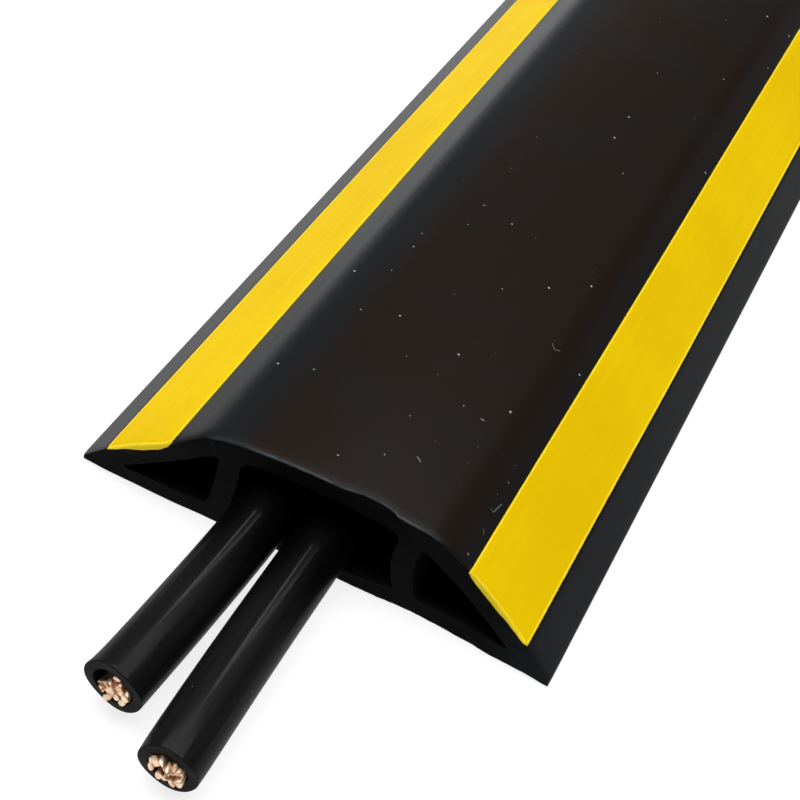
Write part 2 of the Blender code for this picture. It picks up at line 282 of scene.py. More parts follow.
def resampled(points, count):
    """The same open line with count points, equally far apart along it."""
    steps = np.linalg.norm(np.diff(points, axis=0), axis=1)
    along = np.concatenate([[0], np.cumsum(steps)])
    at = np.linspace(0, along[-1], count)
    return np.stack([np.interp(at, along, points[:, column]) for column in (0, 1)], axis=1)


def radial(points, centre):
    """Unit vectors from centre towards points."""
    away = points - centre
    return away / np.linalg.norm(away, axis=1, keepdims=True)


def left_normals(points):
    """Unit vectors to the left of the way along an open line of points."""
    way = np.gradient(points, axis=0)
    way /= np.maximum(np.linalg.norm(way, axis=1, keepdims=True), 1e-12)
    return np.stack([-way[:, 1], way[:, 0]], axis=1)


# Cross-section of the ramp, right-hand side

# Radii of its corners: in the channel, at the head and foot of a strip's seat, over the bare band, at toe and
# heel, and in a side chamber at the web's foot and top, under the shoulder and in its tip
CHANNEL_CORNER = 2.0 * MM
SEAT_HEAD = 0.15 * MM
SEAT_FOOT = 0.06 * MM
BAND_CORNER = 2.0 * MM
TOE_CORNER = 0.4 * MM
HEEL_CORNER = 0.15 * MM
CHAMBER_FOOT = 1.0 * MM
CHAMBER_PEAK = 0.35 * MM
CHAMBER_SHOULDER = 1.0 * MM
CHAMBER_TIP = 0.2 * MM

# Room beside and under a strip, how much lower a chamber's floor lies at its tip and at the web than the
# base's wall says, and how much thicker the slope's wall grows up to the shoulder
SEAT_GAP = 0.25 * MM
SEAT_ROOM = 0.06 * MM
TIP_DROP = 0.65 * MM
FOOT_DROP = 0.3 * MM
WALL_GROWTH = 0.45 * MM

# Points over the roof, and rows of points in a cut face
ROOF_COUNT = 41
CAP_ROWS = 6


def crown_centre(sizes):
    """Centre of the crown's circle."""
    return np.array([0.0, sizes.crown_height - sizes.crown_radius])


def crown_point(sizes, x, inset=0.0):
    """Point of the crown's circle, or of one inset from it, at a distance x from the middle."""
    radius = sizes.crown_radius - inset
    return np.array([x, sizes.crown_height - sizes.crown_radius + math.sqrt(radius ** 2 - x ** 2)])


def slope_frame(sizes):
    """Foot of the slope, the way up it, the way out of it, and its length up to the crown."""
    foot = np.array([sizes.base_width / 2 - sizes.toe_band_width, sizes.toe_band_height])
    head = crown_point(sizes, sizes.channel_foot / 2 + sizes.web_thickness + sizes.shoulder_overhang)
    up = unit(head - foot)
    return foot, up, np.array([up[1], -up[0]]), np.linalg.norm(head - foot)


def shoulder_arc(sizes, count):
    """Arc tangent to the slope and, from inside, to the crown."""
    foot, up, outward, _ = slope_frame(sizes)
    middle = crown_centre(sizes)
    anchor = foot - outward * sizes.shoulder_fillet
    reach = sizes.crown_radius - sizes.shoulder_fillet
    lever = anchor - middle
    along = lever @ up
    centre = anchor + up * (math.sqrt(along ** 2 - lever @ lever + reach ** 2) - along)
    return arc(centre, sizes.shoulder_fillet, heading(centre - middle), heading(outward), count)


def web_face(sizes, offset, count):
    """Bowed face of the web from its foot to its top, offset from the channel towards the chamber."""
    foot = np.array([sizes.channel_foot / 2 + offset, sizes.base_thickness])
    top = crown_point(sizes, sizes.channel_top / 2, sizes.roof_thickness)
    return bowed(foot, top + np.array([offset, 0.0]), sizes.web_bow, count)


def strip_span(sizes):
    """Where a strip starts and ends along the slope."""
    return sizes.strip_foot_margin, slope_frame(sizes)[3] - sizes.strip_head_margin


def strip_depth(sizes, share):
    """How far below the slope a strip's underside lies, at shares of the strip's width from the toe up."""
    return wander(THICK_ACROSS, THICK, share) / max(THICK) * sizes.strip_thickness - sizes.strip_proud


def ramp_skin(sizes):
    """Outline of the ramp's right side from the crown over the slope, toe, base and web back to the roof's
    underside, with the share of the edge roll that each point gets and the three places where it turns."""
    foot, up, outward, _ = slope_frame(sizes)

    def on_slope(along, out):
        return foot + up * along + outward * out

    low, high = strip_span(sizes)
    centre = crown_centre(sizes)
    web = web_face(sizes, 0.0, 15)
    under = crown_point(sizes, sizes.channel_top / 2 - 2 * MM, sizes.roof_thickness)
    corner = fillet(web[-3], web[-1], under, CHANNEL_CORNER, 7)
    cut = heading(corner[-1] - centre)
    corner[-1] = arc(centre, sizes.crown_radius - sizes.roof_thickness, cut, cut, 1)[0]
    shoulder = shoulder_arc(sizes, 15)
    crown = arc(centre, sizes.crown_radius, cut, heading(shoulder[0] - centre), 13)
    slope = np.linspace(shoulder[-1], on_slope(high + SEAT_GAP + 2 * SEAT_HEAD, 0), 9)
    share = np.linspace(1, 0, 13)[:, None]
    depth = strip_depth(sizes, share) + SEAT_ROOM
    seat = on_slope(low - SEAT_GAP + (high - low + 2 * SEAT_GAP) * share, -depth)
    upper_lip = fillet(slope[-2], on_slope(high + SEAT_GAP, 0), seat[0], SEAT_HEAD, 4)
    lower_lip = fillet(seat[-1], on_slope(low - SEAT_GAP, 0), foot, SEAT_FOOT, 4)
    toe = np.array([sizes.base_width / 2, sizes.toe_edge])
    heel = np.array([sizes.base_width / 2, 0.0])
    rail = np.array([sizes.channel_foot / 2, 0.0])
    band = fillet(lower_lip[-1], foot, toe, BAND_CORNER, 4)
    tip = fillet(foot, toe, heel, TOE_CORNER, 6)
    bare = np.linspace(band[-1], tip[0], 6)[1:-1]
    sole = fillet(toe, heel, rail, HEEL_CORNER, 4)
    base = np.linspace(sole[-1], rail, 26)[1:]
    rise = np.linspace(rail, web[0], 5)[1:]
    runs = [
        (crown, 1), (shoulder[1:], 1), (slope[1:], 1), (upper_lip, 0), (seat, 0), (lower_lip, 0), (band, 0.5),
        (bare, 0.5), (tip, 0.4), (sole, 0.2), (base, 0.2), (rise, 0), (web[1:-2], 0.1), (corner, 0.1),
    ]
    roll = np.concatenate([np.full(len(run), rolled) for run, rolled in runs])
    ends = np.cumsum([len(run) for run, _ in runs])
    turns = (len(crown) + len(shoulder) // 2, ends[9] - 2, ends[10] - 1)
    return np.concatenate([run for run, _ in runs]), roll, turns


def chamber_outline(sizes, turns, skin_count):
    """Outline of the right chamber with one point for each point of the skin and of the line that parts the
    skin from the roof: under the shoulder, down the slope, along the base, up the web and round its top.  The
    slope's wall is a little thicker at the shoulder than at the toe, and so is the base at the web."""
    web = web_face(sizes, sizes.web_thickness, 24)
    ceiling = crown_point(sizes, web[-1][0])[1] - sizes.shoulder_wall
    wall = web[web[:, 1] < ceiling]
    foot, up, outward, reach = slope_frame(sizes)
    under = foot - outward * sizes.slope_wall
    tip = under + up * ((sizes.base_thickness - TIP_DROP - under[1]) / up[1])
    rise = unit(under + up * reach - outward * WALL_GROWTH - tip)
    shoulder = tip + rise * ((ceiling - tip[1]) / rise[1])
    top = np.array([wall[-1][0], ceiling])
    corner = np.array([wall[0][0], sizes.base_thickness - FOOT_DROP])
    heel = fillet(tip, corner, wall[3], CHAMBER_FOOT, 11)
    peak = fillet(wall[-3], top, shoulder, CHAMBER_PEAK, 11)
    bend = fillet(top, shoulder, tip, CHAMBER_SHOULDER, 11)
    point = fillet(shoulder, tip, corner, CHAMBER_TIP, 11)
    first, second, third = turns
    climb = wall[(wall[:, 1] > heel[-1][1]) & (wall[:, 1] < peak[0][1])]
    runs = [
        resampled(np.concatenate([peak[-1:], bend[:6]]), first + 1),
        resampled(np.concatenate([bend[5:], point[:6]]), second - first + 1)[1:],
        resampled(np.concatenate([point[5:], heel[:6]]), third - second + 1)[1:],
        resampled(np.concatenate([heel[5:], climb, peak[:1]]), skin_count - third)[1:],
        resampled(peak, CAP_ROWS)[1:-1],
    ]
    return np.concatenate(runs)


# Sweeps along the ramp

# How soon the cuts' wander fades, how steeply the slope falls, where and how far the webs lean, and how far a
# soft extrusion wavers
CUT_FADE = 3 * MM
SLOPE_FALL = 0.756
WEB_LEAN = 0.6 * MM
LEAN_MIDDLE = 7 * MM
LEAN_REACH = 8 * MM
LEAN_END = 22 * MM
LEAN_FADE = 3 * MM
WAVER = 0.035 * MM

# How far from a cut its top edge gets a painted highlight, and the share of the edge's roll that inner edges
# get
RIM_HIGHLIGHT_REACH = 0.45 * MM
INNER_ROLL = 0.1


def stations():
    """Distances along the ramp, close together near both cut ends."""
    near = np.array([0, 0.03, 0.08, 0.16, 0.27, 0.42, 0.62, 0.86, 1.15, 1.5, 2.0, 2.8, 4.5, 8.5]) * MM
    middle = np.linspace(15 * MM, SPAN - 15 * MM, 45)
    return np.concatenate([near, middle, (SPAN - near)[::-1]])


def knife_front(x, z, crown):
    """How far the front cut strays along the ramp: evenly from its lower edge's wander to its upper edge's,
    with nicks in the crown's edge and a fine saw of two sines."""
    across = x / MM
    height = np.clip(z / np.maximum(crown, 1e-6), 0, 1)
    low = wander(LOW_CUT_ACROSS, LOW_CUT, across)
    top = wander(TOP_CUT_ACROSS, TOP_CUT, across)
    nick = wander(NICK_ACROSS, NICK, np.clip(across, NICK_ACROSS[0], NICK_ACROSS[-1]))
    fine = 0.015 * np.sin(across * 2.9 + 1.0) + 0.01 * np.sin(across * 6.7 + z / MM * 1.3)
    return (low + (top - low) * height + nick * smoothstep((height - 0.82) / 0.18) + fine) * MM


def knife_rear(x, z):
    """How far the rear cut strays along the ramp: one wander and a fine saw of two sines."""
    across = x / MM
    fine = 0.02 * np.sin(across * 2.3 + 2.0) + 0.01 * np.sin(across * 5.9 + z / MM * 1.7)
    return (wander(REAR_CUT_ACROSS, REAR_CUT, across) + fine) * MM


def pressed(distance, roll, reach):
    """How far a knife-pressed edge is rolled in at a distance from the cut: a quarter of an ellipse, and a
    long shallow parabola behind it."""
    share = np.clip(1 - distance / reach, 0, 1)
    behind = np.clip(1 - distance / (3 * reach), 0, 1)
    return roll * (1 - np.sqrt(1 - share ** 2)) + 0.3 * roll * behind ** 2


def swept(sizes, outline, normals, roll, waver=0.0):
    """Grid of a line of the cross-section carried along the ramp: rows are stations, columns the line's
    points.  Each end follows its cut, fading within a few millimetres, and the edge there is rolled in along
    the normals.  The skin wavers by two long sines along the ramp, as a soft extrusion does, and both webs
    lean to the left by a parabola of their height."""
    across, height = outline.T
    aside = np.abs(across)
    along = stations()[:, None]
    radius = sizes.crown_radius
    crown = sizes.crown_height - radius + np.sqrt(radius ** 2 - np.minimum(aside, radius) ** 2)
    foot = slope_frame(sizes)[0]
    slope = foot[1] + (foot[0] - aside) * SLOPE_FALL
    front = knife_front(across, height, np.minimum(crown, np.maximum(slope, sizes.toe_edge)))
    rear = knife_rear(across, height)
    reach = sizes.edge_roll * 5
    inset = pressed(along, sizes.edge_roll, reach) + pressed(SPAN - along, sizes.edge_roll, reach)
    wave = np.sin(along / (71 * MM) + across / (21 * MM))
    wave = wave + 0.7 * np.sin(along / (29 * MM) - across / (13 * MM))
    wave = wave * smoothstep(along / (20 * MM)) * smoothstep((SPAN - along) / (20 * MM))
    inset = (inset + waver * wave) * roll
    y = FRONT + along + front * np.exp(-along / CUT_FADE) + rear * np.exp((along - SPAN) / CUT_FADE)
    lean = np.clip(1 - ((height - LEAN_MIDDLE) / LEAN_REACH) ** 2, 0, 1)
    lean = WEB_LEAN * lean * smoothstep((LEAN_END - aside) / LEAN_FADE)
    x = across - lean - normals[:, 0] * inset
    z = np.maximum(height - normals[:, 1] * inset, 0.0)
    return np.stack([x, np.broadcast_to(y, x.shape), z], axis=2)


def ruled(first, second, rows):
    """Grid of straight lines between two rows of points, with both rows in it."""
    share = np.linspace(0, 1, rows)[:, None, None]
    return first * (1 - share) + second * share


def dished(grid, depth):
    """The same ruled grid with its middle rows moved along the ramp by depth times a parabola."""
    share = np.linspace(0, 1, len(grid))[:, None]
    grid = grid.copy()
    grid[:, :, 1] += depth * 4 * share * (1 - share)
    return grid


# From grids to pieces

def quads(rows, columns, round_rows=False, round_columns=False):
    """Corner numbers of the faces of a grid, closed on itself where asked."""
    row = np.arange(rows if round_rows else rows - 1)[:, None]
    column = np.arange(columns if round_columns else columns - 1)[None, :]
    next_row = (row + 1) % rows
    next_column = (column + 1) % columns
    corners = ((row, column), (row, next_column), (next_row, next_column), (next_row, column))
    return np.stack([down * columns + across for down, across in corners], axis=2).reshape(-1, 4)


def piece(name, sheets, finishes, sharp=38.0):
    """One object from grids and the names of its finishes.  A sheet is (points, closed over rows, closed over
    columns, number of its finish, or an array of them over rows and columns of faces).  Points that meet are
    merged, which closes seams and poles, and faces are turned outwards."""
    places, faces, worn, count = [], [], [], 0
    for grid, round_rows, round_columns, number in sheets:
        made = quads(*grid.shape[:2], round_rows, round_columns)
        places.append(grid.reshape(-1, 3))
        faces.append(made + count)
        shape = (grid.shape[0] - (not round_rows), grid.shape[1] - (not round_columns))
        worn.append(np.broadcast_to(number, shape).reshape(-1))
        count += grid.shape[0] * grid.shape[1]
    mesh = bpy.data.meshes.new(name)
    mesh.from_pydata(np.concatenate(places).tolist(), [], np.concatenate(faces).tolist())
    for worn_as in finishes:
        mesh.materials.append(material(worn_as))
    mesh.polygons.foreach_set("material_index", np.concatenate(worn).astype(np.int32))
    shape = bmesh.new()
    shape.from_mesh(mesh)
    bmesh.ops.remove_doubles(shape, verts=shape.verts[:], dist=1e-6)
    bmesh.ops.dissolve_degenerate(shape, edges=shape.edges[:], dist=1e-7)
    bmesh.ops.recalc_face_normals(shape, faces=shape.faces[:])
    shape.to_mesh(mesh)
    shape.free()
    mesh.shade_smooth()
    mesh.set_sharp_from_angle(angle=math.radians(sharp))
    made = bpy.data.objects.new(name, mesh)
    bpy.context.scene.collection.objects.link(made)
    return made


# Materials

def add(tree, kind, inputs=(), **settings):
    """Add a node with its settings.  inputs maps a socket's name or number to a value or to what feeds it."""
    made = tree.nodes.new(kind)
    for name, value in settings.items():
        setattr(made, name, value)
    for name, value in dict(inputs).items():
        if isinstance(value, bpy.types.NodeSocket):
            tree.links.new(value, made.inputs[name])
        else:
            made.inputs[name].default_value = value
    return made


def principled(tree, socket):
    """Input of a tree's Principled shader, by its name in small letters with underscores."""
    return tree.nodes["Principled BSDF"].inputs[socket.replace("_", " ").title().replace("Ior", "IOR")]


def finish(name, **constants):
    """A new material with constants set on its Principled shader, its node tree, and Object coordinates."""
    made = bpy.data.materials.new(name)
    made.use_nodes = True
    tree = made.node_tree
    for socket, value in constants.items():
        principled(tree, socket).default_value = value
    return made, tree, add(tree, "ShaderNodeTexCoord").outputs["Object"]


def feed(tree, **outputs):
    """Link outputs to inputs of the Principled shader."""
    for socket, output in outputs.items():
        tree.links.new(output, principled(tree, socket))


def rgba(value):
    """Colour with full alpha."""
    return (*value[:3], 1.0)


def mixed(tree, share, first, second, blend="MIX"):
    """Mix of two colours, each a value or an output, by a share."""
    first, second = (end if isinstance(end, bpy.types.NodeSocket) else rgba(end) for end in (first, second))
    inputs = {0: share, 6: first, 7: second}
    return add(tree, "ShaderNodeMix", inputs, data_type="RGBA", blend_type=blend).outputs[2]


def ranged(tree, value, low, high, first, last, ease="LINEAR"):
    """Value carried over from the range low to high into the range first to last, and kept inside it."""
    inputs = {0: value, 1: low, 2: high, 3: first, 4: last}
    return add(tree, "ShaderNodeMapRange", inputs, interpolation_type=ease).outputs[0]


def worked(tree, operation, *values, **settings):
    """What one sum on values or outputs comes to."""
    return add(tree, "ShaderNodeMath", enumerate(values), operation=operation, **settings).outputs[0]


def noise(tree, coordinates, size, detail=2.0):
    """Cloudy noise with patches of about a size, in metres."""
    inputs = {"Vector": coordinates, "Scale": 1 / size, "Detail": detail}
    return add(tree, "ShaderNodeTexNoise", inputs).outputs[0]


def mapped(tree, coordinates, scale, turn=(0.0, 0.0, 0.0)):
    """Coordinates scaled along the three axes and turned about them."""
    inputs = {"Vector": coordinates, "Rotation": turn, "Scale": scale}
    return add(tree, "ShaderNodeMapping", inputs).outputs[0]


def bumps(tree, height, distance, strength):
    """Normal of a surface raised by a height times a distance, in metres."""
    inputs = {"Height": height, "Distance": distance, "Strength": strength}
    return add(tree, "ShaderNodeBump", inputs).outputs[0]


def axis(tree, coordinates, number):
    """One of the three coordinates."""
    return add(tree, "ShaderNodeSeparateXYZ", {0: coordinates}).outputs[number]


def off_line(tree, coordinates, x):
    """Distance across the ramp from a line along it."""
    return worked(tree, "ABSOLUTE", worked(tree, "SUBTRACT", axis(tree, coordinates, 0), x))


def marks(tree, coordinates, spacing, size, share, turn=0.0, stretch=1.0):
    """Mask of scattered marks seen from above: round dots of a size in cells of a spacing, both in metres, on
    a share of the cells.  A stretch makes them short hairlines, turned by an angle."""
    scale = (1 / spacing, 1 / (spacing * stretch), 0.0)
    inputs = {"Vector": mapped(tree, coordinates, scale, (0.0, 0.0, turn)), "Scale": 1.0}
    cells = add(tree, "ShaderNodeTexVoronoi", inputs, voronoi_dimensions="2D")
    chance = add(tree, "ShaderNodeSeparateColor", {0: cells.outputs["Color"]}).outputs[0]
    wide = ranged(tree, chance, 1 - share, 1.0, 0.0, size / spacing / 2)
    near = worked(tree, "SUBTRACT", wide, cells.outputs["Distance"])
    return worked(tree, "MULTIPLY", near, spacing / size * 4, use_clamp=True)


def scuffs(tree, coordinates):
    """Mask of the scuffs seen from above.  Each is palest on the line from its start to its end, and gone at
    half its width from the nearest point of that line."""

    def step(operation, inputs):
        return add(tree, "ShaderNodeVectorMath", inputs, operation=operation).outputs

    level = step("MULTIPLY", {0: coordinates, 1: (1.0, 1.0, 0.0)})[0]
    mask = 0.0
    for first, last, strength in SCUFFS:
        start = np.array([*first, 0.0]) * MM
        run = np.array([*last, 0.0]) * MM - start
        start[1] += FRONT
        away = step("SUBTRACT", {0: level, 1: start})[0]
        share = step("DOT_PRODUCT", {0: away, 1: run / (run @ run)})["Value"]
        share = add(tree, "ShaderNodeClamp", {0: share}).outputs[0]
        near = step("SCALE", {0: run, "Scale": share})[0]
        gap = step("DISTANCE", {0: away, 1: near})["Value"]
        mask = worked(tree, "MAXIMUM", mask, ranged(tree, gap, 0.0, SCUFF_WIDTH / 2, strength, 0.0))
    return mask


def streaks(tree, coordinates, across, along, detail=2.0):
    """Noise drawn out along the ramp: lines as wide as across and as long as along, in metres."""
    return noise(tree, mapped(tree, coordinates, (1 / across, 1 / along, 1 / across)), 1.0, detail)


def black_pvc(colours):
    """Flexible PVC pushed through a die: satin black, browner along the crown's middle and painted cooler
    beside it as a reflection of bluish light, with faint clouds, fine lines along the way it was drawn,
    patches of pale dust specks, hairline scratches and a few scuffs."""
    made, tree, coordinates = finish("extruded black PVC", ior=1.52, specular_ior_level=0.090)
    clouds = ranged(tree, noise(tree, coordinates, 22 * MM, 4.0), 0.42, 0.70, 0.0, 0.6)
    # Painted reflection: beside the crown's middle the black is mixed cooler, as bluish light reflected on
    # the shoulders
    cool_painted_reflection = ranged(tree, off_line(tree, coordinates, 5 * MM), 14 * MM, 21 * MM, 0.0, 1.0)
    base = mixed(tree, worked(tree, "MAXIMUM", clouds, cool_painted_reflection), colours.pvc_warm, colours.pvc_cool)
    patches = ranged(tree, noise(tree, coordinates, 55 * MM, 1.0), 0.46, 0.58, 0.15, 1.0)
    dots = marks(tree, coordinates, 6.0 * MM, 0.55 * MM, 0.36)
    hairs = marks(tree, coordinates, 0.9 * MM, 0.07 * MM, 0.010, turn=0.9, stretch=14.0)
    ticks = marks(tree, coordinates, 1.2 * MM, 0.08 * MM, 0.006, turn=-0.6, stretch=10.0)
    scratches = worked(tree, "MULTIPLY", worked(tree, "MAXIMUM", hairs, ticks), 0.32)
    pale = worked(tree, "MAXIMUM", worked(tree, "MULTIPLY", dots, patches), scratches)
    pale = worked(tree, "MAXIMUM", pale, scuffs(tree, coordinates))
    lines = streaks(tree, coordinates, 0.6 * MM, 120 * MM)
    rough = ranged(tree, lines, 0.25, 0.75, 0.36, 0.42)
    height = worked(tree, "ADD", lines, noise(tree, coordinates, 2.5 * MM))
    feed(
        tree,
        base_color=mixed(tree, pale, base, colours.dust),
        roughness=worked(tree, "MAXIMUM", rough, pale),
        normal=bumps(tree, height, 0.015 * MM, 0.5),
    )
    return made


def cut_pvc(colours):
    """The same PVC where a knife went through it: matte, with drag marks across the cut, and painted lighter
    grey towards the right toe, as bounced light there."""
    made, tree, coordinates = finish("knife-cut black PVC", ior=1.52, roughness=0.62, specular_ior_level=0.02)
    at_the_cut = mapped(tree, coordinates, (1 / (9 * MM), 1 / (9 * MM), 1 / (0.35 * MM)), (0.0, 0.5, 0.0))
    drag = noise(tree, at_the_cut, 1.0, 3.0)
    base = mixed(tree, ranged(tree, drag, 0.3, 0.75, 0.0, 0.45), colours.pvc_cut, colours.pvc_cool)
    # Painted light: the cut face is mixed towards grey near the right toe, as light bounced onto it there
    painted_toe_light = ranged(tree, axis(tree, coordinates, 0), 29 * MM, 40 * MM, 0.0, 0.16)
    feed(
        tree,
        base_color=mixed(tree, painted_toe_light, base, colours.pvc_painted_light),
        normal=bumps(tree, drag, 0.08 * MM, 0.6),
    )
    return made


def sheltered_pvc(colours):
    """The same PVC inside the channel and the chambers, where no hand or dust comes: dull deep black with the
    die's lines."""
    made, tree, coordinates = finish("sheltered black PVC", ior=1.52, specular_ior_level=0.05)
    lines = streaks(tree, coordinates, 0.6 * MM, 120 * MM)
    shade = ranged(tree, lines, 0.3, 0.75, 0.0, 0.4)
    feed(
        tree,
        base_color=mixed(tree, shade, colours.pvc_inside, colours.pvc_cool),
        roughness=ranged(tree, lines, 0.25, 0.75, 0.45, 0.6),
        normal=bumps(tree, lines, 0.03 * MM, 0.5),
    )
    return made


def rim_highlight_pvc(colours):
    """The same PVC along a cut edge of the crown, painted grey in uneven patches as a highlight of the rim,
    most of all in the middle of the crown."""
    made, tree, coordinates = finish("black PVC with painted rim highlight", ior=1.52, roughness=0.5, specular_ior_level=0.1)
    grey = ranged(tree, noise(tree, coordinates, 3 * MM), 0.35, 0.65, 0.25, 1.0)
    fading = ranged(tree, off_line(tree, coordinates, 3 * MM), 11 * MM, 17 * MM, 1.0, 0.1)
    share = worked(tree, "MULTIPLY", grey, fading)
    feed(tree, base_color=mixed(tree, share, colours.pvc_cool, colours.pvc_painted_light))
    return made


def yellow_pvc(colours):
    """Coloured PVC strip, drawn smooth: glossy with faint lines along it, deeper yellow clouds and a little
    dirt."""
    made, tree, coordinates = finish("extruded yellow PVC", ior=1.52, specular_ior_level=0.006)
    lines = streaks(tree, coordinates, 0.9 * MM, 150 * MM)
    tone = worked(tree, "MULTIPLY_ADD", lines, 0.35, noise(tree, coordinates, 30 * MM, 3.0))
    base = mixed(tree, ranged(tree, tone, 0.50, 0.85, 0.0, 1.0), colours.strip, colours.strip_deep)
    dirt = marks(tree, coordinates, 1.6 * MM, 0.10 * MM, 0.012, turn=0.4, stretch=5.0)
    feed(
        tree,
        base_color=mixed(tree, worked(tree, "MULTIPLY", dirt, 0.35), base, colours.pvc_warm),
        roughness=ranged(tree, lines, 0.25, 0.75, 0.36, 0.46),
        normal=bumps(tree, lines, 0.01 * MM, 0.3),
    )
    return made


def yellow_painted_highlight(colours):
    """The same yellow PVC on a strip's cut ends and along its edges, painted pale there as a highlight, in
    uneven patches, and dull."""
    made, tree, coordinates = finish("yellow PVC with painted highlights", ior=1.52, roughness=0.6, specular_ior_level=0.02)
    shade = ranged(tree, noise(tree, coordinates, 4 * MM), 0.35, 0.65, 0.0, 0.4)
    feed(tree, base_color=mixed(tree, shade, colours.strip_highlight, colours.strip))
    return made


def jacket_pvc(colours):
    """Cable sheath pressed on round the strands: smooth black that shows long narrow lights, with draw lines.
    It is painted deeper black in the channel and just past its mouths than on the stubs, as the roof's shade."""
    made, tree, coordinates = finish(
        "pressed black cable sheath", ior=1.50, specular_ior_level=0.03, coat_weight=0.10, coat_roughness=0.15
    )
    along = axis(tree, coordinates, 1)
    # Painted shade: the jacket is mixed to deeper black from just past each mouth into the channel, as the
    # roof's shade there
    front = ranged(tree, along, FRONT - 24 * MM, FRONT - 5 * MM, 0.0, 1.0, "SMOOTHSTEP")
    rear = ranged(tree, along, REAR + 5 * MM, REAR + 24 * MM, 1.0, 0.0, "SMOOTHSTEP")
    mouth_shaded = mixed(tree, worked(tree, "MULTIPLY", front, rear), colours.jacket, colours.jacket_shade_and_lines)
    lines = streaks(tree, coordinates, 0.8 * MM, 60 * MM)
    base = mixed(tree, ranged(tree, lines, 0.35, 0.70, 0.0, 0.5), mouth_shaded, colours.jacket_shade_and_lines)
    specks = marks(tree, coordinates, 7.0 * MM, 0.22 * MM, 0.20)
    feed(
        tree,
        base_color=mixed(tree, specks, base, colours.dust),
        roughness=ranged(tree, lines, 0.25, 0.75, 0.40, 0.52),
        normal=bumps(tree, lines, 0.012 * MM, 0.4),
    )
    return made


def cut_jacket(colours):
    """Cable sheath where a cutter went through it: dull, greyer than its skin, with fine drag marks."""
    made, tree, coordinates = finish(
        "knife-cut cable sheath", ior=1.50, roughness=0.6, specular_ior_level=0.05
    )
    drag = streaks(tree, coordinates, 0.25 * MM, 0.25 * MM, detail=3.0)
    shade = ranged(tree, drag, 0.3, 0.7, 0.0, 0.6)
    feed(
        tree,
        base_color=mixed(tree, shade, colours.jacket_cut, colours.jacket),
        normal=bumps(tree, drag, 0.05 * MM, 0.5),
    )
    return made


def bare_copper(colours):
    """Drawn copper wire, freshly cut: bright pale metal, duller and redder in patches, with draw marks."""
    made, tree, coordinates = finish("drawn copper wire", metallic=1.0)
    patches = noise(tree, coordinates, 1.4 * MM, 3.0)
    shade = ranged(tree, patches, 0.42, 0.68, 0.0, 1.0)
    feed(
        tree,
        base_color=mixed(tree, shade, colours.copper, colours.copper_dull),
        roughness=ranged(tree, patches, 0.3, 0.7, 0.36, 0.54),
        normal=bumps(tree, streaks(tree, coordinates, 0.12 * MM, 3 * MM), 0.02 * MM, 0.5),
    )
    return made


def studio_floor(colours):
    """Opal acrylic table with a very faint tooth.  Much of its white is light from below, which keeps shadows
    pale, and its skin sends back under a third of what falls on it."""
    made, tree, coordinates = finish(
        "back-lit white acrylic", roughness=0.9, specular_ior_level=0.1, emission_strength=0.85,
        emission_color=rgba(colours.floor),
    )
    shade = ranged(tree, noise(tree, coordinates, 4 * MM), 0.2, 0.8, 0.30, 0.31)
    feed(tree, base_color=mixed(tree, 1.0, colours.floor, shade, blend="MULTIPLY"))
    return made


MAKERS = {
    "extruded black PVC": black_pvc,
    "knife-cut black PVC": cut_pvc,
    "sheltered black PVC": sheltered_pvc,
    "black PVC with painted rim highlight": rim_highlight_pvc,
    "extruded yellow PVC": yellow_pvc,
    "yellow PVC with painted highlights": yellow_painted_highlight,
    "pressed black cable sheath": jacket_pvc,
    "knife-cut cable sheath": cut_jacket,
    "drawn copper wire": bare_copper,
    "back-lit white acrylic": studio_floor,
}


def material(name):
    """The material of that name, made on first use."""
    return bpy.data.materials.get(name) or MAKERS[name](bpy.context.scene.ramp_finishes)


# What the black extrusion shows outside, on its cuts, inside and as a painted highlight along its cut edges,
# and the other pieces
PVC_FINISHES = ("extruded black PVC", "knife-cut black PVC", "sheltered black PVC", "black PVC with painted rim highlight")
OUTSIDE, CUT, INSIDE, RIM_HIGHLIGHT = range(4)
STRIP_FINISHES = ("extruded yellow PVC", "yellow PVC with painted highlights")
SHEATH_FINISHES = ("pressed black cable sheath", "knife-cut cable sheath")


# Operators, one for each piece or group of like pieces

# Half the width of the studio floor, and how far it lies under the ramp
FLOOR_HALF = 30.0
FLOOR_DROP = 0.2 * MM


